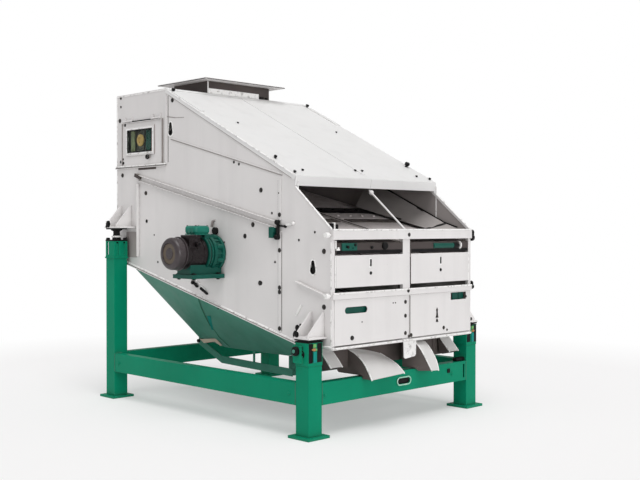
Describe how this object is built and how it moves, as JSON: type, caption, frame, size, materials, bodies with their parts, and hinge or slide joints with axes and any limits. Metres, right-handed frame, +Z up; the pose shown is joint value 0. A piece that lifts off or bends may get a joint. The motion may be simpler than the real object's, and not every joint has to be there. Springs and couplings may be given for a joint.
{
  "type": "seed pre-cleaner",
  "caption": "Vibrating seed pre-cleaner: sloping sieve casing on rubber springs with side motors, dust hopper, front spouts and a welded stand.",
  "frame": {"origin": "on the floor, in the middle of the four legs, at the underside of the base plates", "axes": "+X towards the discharge end, -Y towards the side with the service door, +Z up"},
  "size_m": [2.091, 1.9, 2.11],
  "materials": {
    "stand_green": "satin enamel paint",
    "spring_rubber": "matte black rubber",
    "casing_white": "semi-gloss light grey-white enamel",
    "inner_steel": "grey primer, dusty",
    "hopper_green": "satin enamel paint",
    "spout_grey": "semi-gloss light grey enamel",
    "frame_green": "satin enamel paint",
    "sieve_steel": "perforated sheet, dusty",
    "ball_rubber": "matte red-brown rubber",
    "window_glass": "clear",
    "motor_green": "enamel on a casting",
    "motor_dark": "dark painted casting",
    "rotor_steel": "turned steel",
    "bolt_dark": "blackened steel",
    "knob_black": "black moulded plastic"
  },
  "bodies": {
    "stand": {"leg_inlet_near": "stand_green", "leg_inlet_far": "stand_green", "leg_discharge_near": "stand_green", "leg_discharge_far": "stand_green", "base_plates": "stand_green", "side_beams": "stand_green", "end_beam_inlet": "stand_green", "end_beam_discharge": "stand_green", "spring_cups": "stand_green", "springs_inlet": "spring_rubber", "springs_discharge": "spring_rubber", "frame_bolts": "bolt_dark"},
    "sieve_body": {"side_wall_near": "casing_white", "side_wall_far": "casing_white", "back_wall": "casing_white", "roof_plate": "casing_white", "inlet_spout": "casing_white", "hood_panel_near": "casing_white", "hood_panel_far": "casing_white", "hood_trim": "casing_white", "joint_flanges": "casing_white", "wall_trims": "casing_white", "front_top_bar": "casing_white", "front_mid_bar": "casing_white", "front_mullions": "casing_white", "front_posts": "casing_white", "lower_covers": "casing_white", "deck_rails": "inner_steel", "centre_beams": "inner_steel", "cross_tubes": "inner_steel", "floor_plates": "casing_white", "product_spout": "spout_grey", "side_spouts": "spout_grey", "hopper": "hopper_green", "outlet_frame": "hopper_green", "spring_brackets": "casing_white", "door_hinges": "inner_steel", "flap_bearings": "frame_green", "motor_mounts": "motor_green", "motor_housings": "motor_dark", "terminal_boxes": "motor_dark", "casing_bolts": "bolt_dark", "hood_knobs": "knob_black"},
    "upper_cassette_near": {"upper_cassette_near": "frame_green", "upper_sieve_near": "sieve_steel"},
    "upper_cassette_far": {"upper_cassette_far": "frame_green", "upper_sieve_far": "sieve_steel"},
    "lower_cassette_near": {"lower_cassette_near": "frame_green", "lower_sieve_near": "sieve_steel", "lower_panel_near": "casing_white", "cleaning_balls_near": "ball_rubber"},
    "lower_cassette_far": {"lower_cassette_far": "frame_green", "lower_sieve_far": "sieve_steel", "lower_panel_far": "casing_white", "cleaning_balls_far": "ball_rubber"},
    "service_door": {"service_door": "casing_white", "window_pane": "window_glass"},
    "feed_flap": {"feed_flap": "frame_green"},
    "rotor_near": {"rotor_near": "rotor_steel"},
    "rotor_far": {"rotor_far": "rotor_steel"}
  },
  "joints": [
    {"name": "casing_stroke", "type": "slide", "parent": "stand", "child": "sieve_body", "axis": [0.8192, 0, 0.5736], "range_m": [-0.005, 0.005], "stiffness_N_per_m": 400000, "springref_m": 0.01362, "deforming": ["springs_inlet", "springs_discharge"]},
    {"name": "motor_shaft_near", "type": "hinge", "parent": "sieve_body", "child": "rotor_near", "pos_m": [0.026, -0.75, 0.975], "axis": [0, 1, 0], "continuous": true},
    {"name": "motor_shaft_far", "type": "hinge", "parent": "sieve_body", "child": "rotor_far", "pos_m": [0.026, 0.75, 0.975], "axis": [0, 1, 0], "continuous": true},
    {"name": "service_door_hinge", "type": "hinge", "parent": "sieve_body", "child": "service_door", "pos_m": [-0.73, -0.618, 1.838], "axis": [-1, 0, 0], "range_deg": [0, 110]},
    {"name": "feed_flap_shaft", "type": "hinge", "parent": "sieve_body", "child": "feed_flap", "pos_m": [-0.755, 0, 1.705], "axis": [0, -1, 0], "range_deg": [0, 40]},
    {"name": "upper_cassette_near_slide", "type": "slide", "parent": "sieve_body", "child": "upper_cassette_near", "axis": [0.9724, 0, -0.2334], "range_m": [0, 1.3]},
    {"name": "upper_cassette_far_slide", "type": "slide", "parent": "sieve_body", "child": "upper_cassette_far", "axis": [0.9724, 0, -0.2334], "range_m": [0, 1.3]},
    {"name": "lower_cassette_near_slide", "type": "slide", "parent": "sieve_body", "child": "lower_cassette_near", "axis": [0.9724, 0, -0.2334], "range_m": [0, 1.3]},
    {"name": "lower_cassette_far_slide", "type": "slide", "parent": "sieve_body", "child": "lower_cassette_far", "axis": [0.9724, 0, -0.2334], "range_m": [0, 1.3]}
  ]
}
